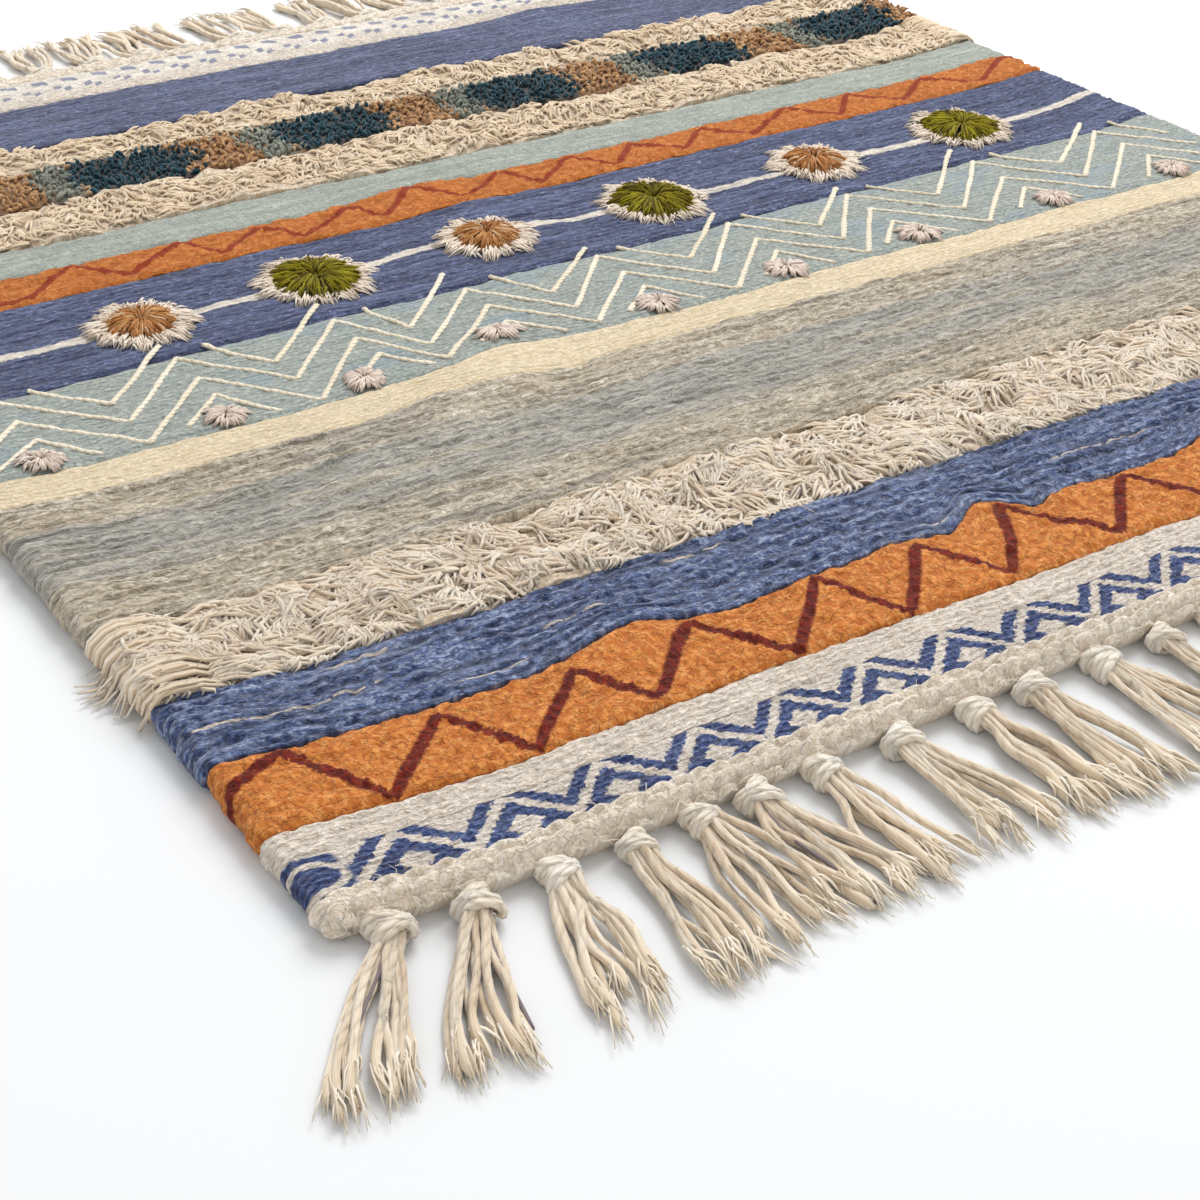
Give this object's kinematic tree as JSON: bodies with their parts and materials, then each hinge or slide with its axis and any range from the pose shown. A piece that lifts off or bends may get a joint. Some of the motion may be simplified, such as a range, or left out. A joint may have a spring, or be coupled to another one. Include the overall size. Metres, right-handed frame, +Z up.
{
  "type": "kilim rug",
  "caption": "Hand-woven wool kilim rug in cross stripes with shag bands, tufted rosettes and a knotted fringe at both ends, lying flat.",
  "frame": {"origin": "under the middle of the whole rug with its fringes, on the floor", "axes": "+X along the stripes towards the right selvedge, +Y along the warp from the near fringe to the far one, +Z up"},
  "size_m": [0.6358, 0.7616, 0.0159],
  "materials": {
    "kilim_wool": "weft-faced wool in cross stripes of blue, orange, grey, cream and blue-green, matt",
    "cream_shag": "long cream wool pile in loose locks, matt",
    "figured_pile": "low dense wool pile in dark teal, brown and sage, matt",
    "white_tuft": "off-white cotton ends, cut and frayed",
    "brown_tuft": "brown wool tuft",
    "green_tuft": "olive green wool tuft",
    "cream_cotton": "twisted cream cotton warp ends, frayed at the tips"
  },
  "bodies": {
    "root": {"cloth": "kilim_wool", "shag_near": "cream_shag", "shag_mid": "cream_shag", "shag_far": "cream_shag", "pile_figured": "figured_pile", "rosette_1": "white_tuft", "rosette_1_eye": "brown_tuft", "rosette_2": "white_tuft", "rosette_2_eye": "green_tuft", "rosette_3": "white_tuft", "rosette_3_eye": "brown_tuft", "rosette_4": "white_tuft", "rosette_4_eye": "green_tuft", "rosette_5": "white_tuft", "rosette_5_eye": "brown_tuft", "rosette_6": "white_tuft", "rosette_6_eye": "green_tuft", "tuft_1": "white_tuft", "tuft_2": "white_tuft", "tuft_3": "white_tuft", "tuft_4": "white_tuft", "tuft_5": "white_tuft", "tuft_6": "white_tuft", "tuft_7": "white_tuft", "tuft_8": "white_tuft", "tuft_9": "white_tuft", "fringe_near": "cream_cotton", "fringe_far": "cream_cotton"}
  },
  "joints": []
}
